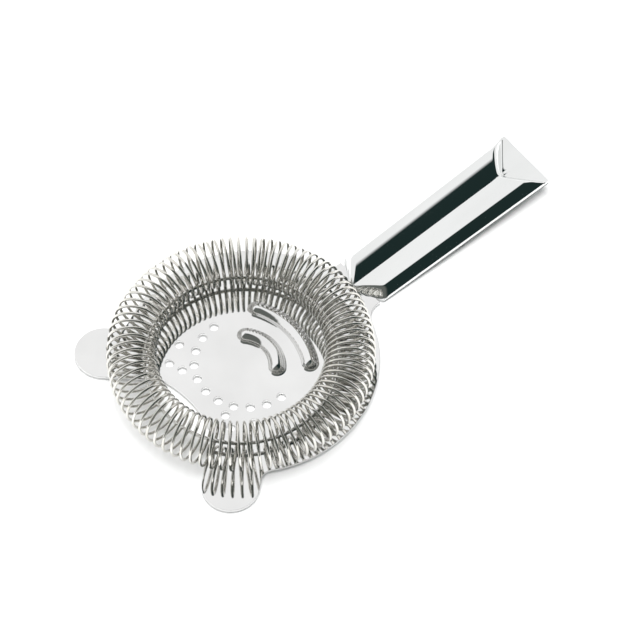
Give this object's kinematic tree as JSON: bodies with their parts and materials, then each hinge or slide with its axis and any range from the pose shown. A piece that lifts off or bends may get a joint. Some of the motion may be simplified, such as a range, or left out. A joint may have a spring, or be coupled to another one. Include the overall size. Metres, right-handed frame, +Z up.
{
  "type": "hawthorne strainer",
  "caption": "Cocktail strainer: perforated round plate with two rest ears, a ring-shaped spring coil held by a low band, and a folded sheet handle.",
  "frame": {"origin": "centre of the plate's round edge, on the plate's underside", "axes": "+X runs from the plate along the handle, +Y is across it, +Z is up from the underside through the plate to the spring side"},
  "size_m": [0.1663, 0.0886, 0.0181],
  "materials": {
    "plate_steel": "mirror polished stainless sheet",
    "handle_steel": "mirror polished stainless sheet",
    "band_steel": "polished stainless strip",
    "spring_steel": "bright drawn spring wire"
  },
  "bodies": {
    "frame": {"perforated_plate": "plate_steel", "handle": "handle_steel", "retaining_band": "band_steel", "band_lugs": "band_steel"},
    "coil": {"spring_coil": "spring_steel"}
  },
  "joints": [
    {"name": "coil_float", "type": "slide", "parent": "frame", "child": "coil", "axis": [1, 0, 0], "range_m": [0, 0.0005], "stiffness_N_per_m": 800}
  ]
}
